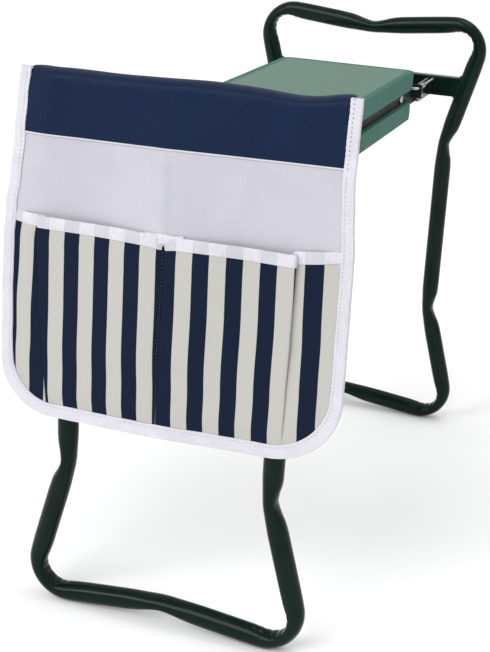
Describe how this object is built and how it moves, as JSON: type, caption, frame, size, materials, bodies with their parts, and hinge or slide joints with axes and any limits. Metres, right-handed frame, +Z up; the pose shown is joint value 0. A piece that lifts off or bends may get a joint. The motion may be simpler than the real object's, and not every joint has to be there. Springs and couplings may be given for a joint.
{
  "type": "garden kneeler seat",
  "caption": "Folding garden kneeler and seat: padded board between two bent-tube leg frames, with a slip-on striped cloth tool pouch.",
  "frame": {"origin": "on the floor, under the middle of the whole object", "axes": "+X along the seat away from the pouch, +Y across the seat, +Z up"},
  "size_m": [0.6125, 0.3056, 0.492],
  "materials": {
    "frame_paint": "semi-gloss dark green paint",
    "rail_paint": "satin dark grey paint",
    "foam_green": "matt closed-cell foam",
    "zinc": "bright zinc plate",
    "nylon": "black nylon",
    "navy_cloth": "coated woven cloth",
    "stripe_cloth": "striped woven cloth",
    "white_cloth": "woven cloth",
    "white_tape": "ribbed tape"
  },
  "bodies": {
    "seat": {"seat_pan": "rail_paint", "base_plate": "rail_paint", "sitting_pad": "foam_green", "kneeling_pad": "foam_green", "pivot_bolts": "zinc", "pivot_spacers": "nylon", "pivot_washers": "zinc", "pivot_nuts": "zinc", "tray_screws": "zinc", "tray_nuts": "zinc", "left_latch_springs": "zinc", "right_latch_springs": "zinc"},
    "left_frame": {"left_loop": "frame_paint", "left_crossbar": "frame_paint", "left_hinge_ears": "frame_paint"},
    "right_frame": {"right_loop": "frame_paint", "right_crossbar": "frame_paint", "right_hinge_ears": "frame_paint"},
    "left_latch": {"left_latch_bail": "zinc"},
    "right_latch": {"right_latch_bail": "zinc"},
    "pouch": {"pouch_hood": "navy_cloth", "pouch_white_panel": "white_cloth", "pouch_back_panel": "stripe_cloth", "left_pocket": "stripe_cloth", "right_pocket": "stripe_cloth", "edge_binding": "white_tape"}
  },
  "joints": [
    {"name": "left_fold", "type": "hinge", "parent": "seat", "child": "left_frame", "pos_m": [-0.19925, 0, 0.4105], "axis": [0, -1, 0], "range_deg": [0, 90]},
    {"name": "right_fold", "type": "hinge", "parent": "seat", "child": "right_frame", "pos_m": [0.23925, 0, 0.4105], "axis": [0, 1, 0], "range_deg": [0, 90]},
    {"name": "left_latch_pull", "type": "slide", "parent": "seat", "child": "left_latch", "axis": [1, 0, 0], "range_m": [0, 0.008], "stiffness_N_per_m": 400, "springref_m": -0.005, "deforming": ["left_latch_springs"]},
    {"name": "right_latch_pull", "type": "slide", "parent": "seat", "child": "right_latch", "axis": [-1, 0, 0], "range_m": [0, 0.008], "stiffness_N_per_m": 400, "springref_m": -0.005, "deforming": ["right_latch_springs"]},
    {"name": "pouch_lift", "type": "slide", "parent": "left_frame", "child": "pouch", "axis": [0, 0, 1], "range_m": [0, 0.32]}
  ]
}
